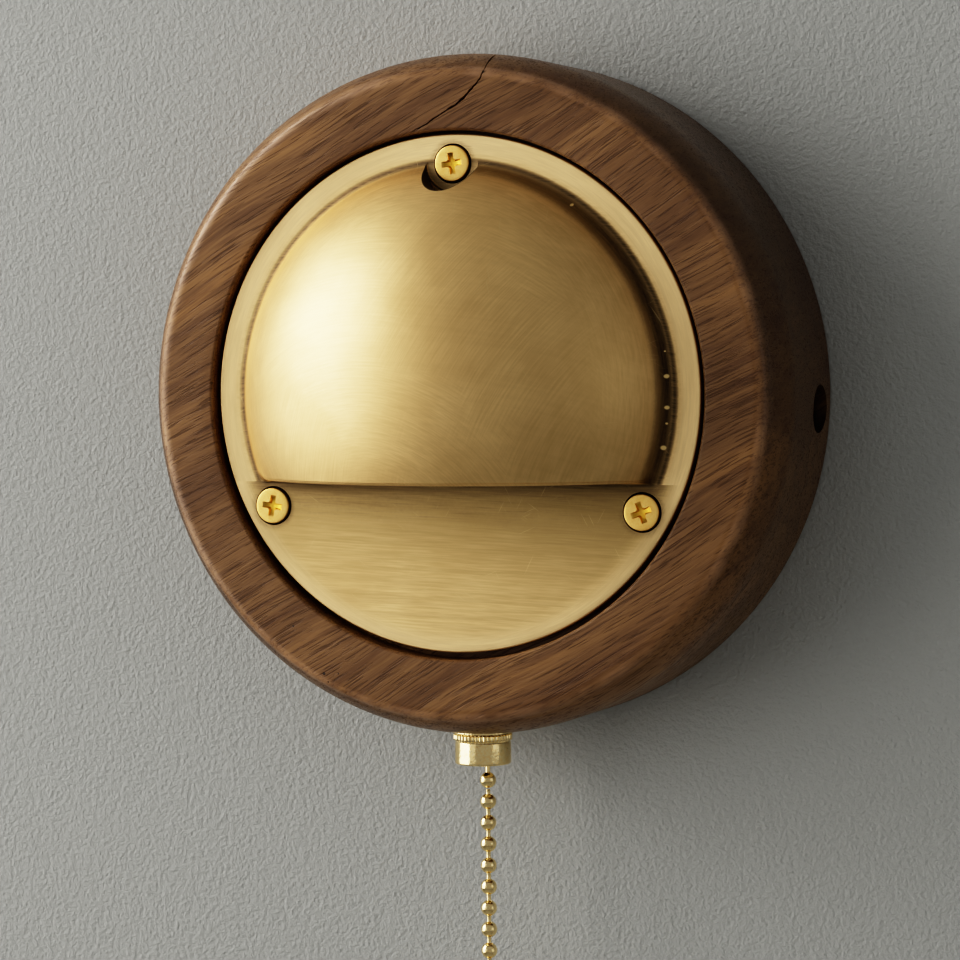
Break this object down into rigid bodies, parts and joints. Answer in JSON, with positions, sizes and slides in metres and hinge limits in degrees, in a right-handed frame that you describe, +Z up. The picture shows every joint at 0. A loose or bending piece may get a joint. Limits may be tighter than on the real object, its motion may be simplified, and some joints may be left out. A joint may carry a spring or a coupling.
{
  "type": "pull-chain wall lamp",
  "caption": "Round wall-mounted down-light: turned wooden body, recessed brass plate with half-dome hood, and a pull-chain switch with a ball chain under the body.",
  "frame": {"origin": "centre of the wall plane, at the middle of the bracket's back face, on the axis of the turned body", "axes": "+Z up, the lamp faces -Y, +Y points into the wall, +X is to the right of someone facing the lamp"},
  "size_m": [0.1324, 0.058, 0.2917],
  "materials": {
    "walnut": "satin oiled open-grain walnut",
    "antique_brass": "brushed and antiqued, dark in the corners",
    "screw_brass": "satin yellow brass",
    "polished_brass": "polished",
    "frosted_acrylic": "frosted translucent",
    "aluminium": "machined",
    "circuit_board": "white solder mask",
    "led_phosphor": "phosphor coating",
    "zinc_steel": "zinc plated",
    "white_plastic": "moulded",
    "foam_tape": "closed-cell foam",
    "nylon": "moulded natural nylon",
    "black_rubber": "moulded",
    "black_phenolic": "moulded phenolic",
    "spring_steel": "bright drawn",
    "brown_insulation": "wire insulation",
    "red_insulation": "wire insulation",
    "blue_insulation": "wire insulation",
    "black_insulation": "wire insulation",
    "green_insulation": "wire insulation"
  },
  "bodies": {
    "root": {"wood_body": "walnut", "hood_plate": "antique_brass", "face_screw_top": "screw_brass", "face_screw_left": "screw_brass", "face_screw_right": "screw_brass", "earth_screw": "screw_brass", "threaded_insert_top": "polished_brass", "threaded_insert_left": "polished_brass", "threaded_insert_right": "polished_brass", "threaded_bush": "polished_brass", "bush_washer": "polished_brass", "ferrule_nut": "polished_brass", "fixed_contact_live": "polished_brass", "fixed_contact_load": "polished_brass", "hood_diffuser": "frosted_acrylic", "heat_sink": "aluminium", "led_board": "circuit_board", "led_strip": "led_phosphor", "heat_sink_screw_left": "zinc_steel", "heat_sink_screw_right": "zinc_steel", "wall_bracket": "zinc_steel", "terminal_screw_1": "zinc_steel", "terminal_screw_2": "zinc_steel", "terminal_screw_3": "zinc_steel", "side_screw_left": "zinc_steel", "side_screw_right": "zinc_steel", "driver_case": "white_plastic", "driver_cover": "white_plastic", "driver_pad": "foam_tape", "terminal_block": "nylon", "cable_grommet": "black_rubber", "switch_housing": "black_phenolic", "switch_cover": "black_phenolic", "return_spring": "spring_steel", "rotor_pin": "spring_steel", "switch_live_wire": "brown_insulation", "switch_load_wire": "red_insulation", "led_lead_pos": "red_insulation", "neutral_wire": "blue_insulation", "led_lead_neg": "black_insulation", "earth_wire": "green_insulation"},
    "pull": {"pull_slider": "nylon", "pull_rod": "polished_brass"},
    "rotor": {"contact_wheel": "black_phenolic", "rotor_contact": "polished_brass"},
    "link_bead": {"first_bead": "polished_brass"},
    "chain": {"pull_chain": "polished_brass", "chain_end_bell": "polished_brass"}
  },
  "joints": [
    {"name": "pull_slide", "type": "slide", "parent": "root", "child": "pull", "axis": [0, 0, -1], "range_m": [0, 0.006], "stiffness_N_per_m": 500, "springref_m": -0.006, "deforming": ["return_spring"]},
    {"name": "rotor_turn", "type": "hinge", "parent": "root", "child": "rotor", "pos_m": [-0.00232, -0.0185, -0.038], "axis": [0, 1, 0], "range_deg": [0, 90]},
    {"name": "chain_swing_in_out", "type": "hinge", "parent": "pull", "child": "link_bead", "pos_m": [0.0009, -0.0178, -0.07615], "axis": [1, 0, 0], "range_deg": [-35, 5]},
    {"name": "chain_swing_sideways", "type": "hinge", "parent": "link_bead", "child": "chain", "pos_m": [0.0009, -0.0178, -0.07615], "axis": [0, 1, 0], "range_deg": [-35, 35]}
  ],
  "couplings": [
    {"joint": "rotor_turn", "follows": "pull_slide", "rad_per_m": 261.8}
  ]
}
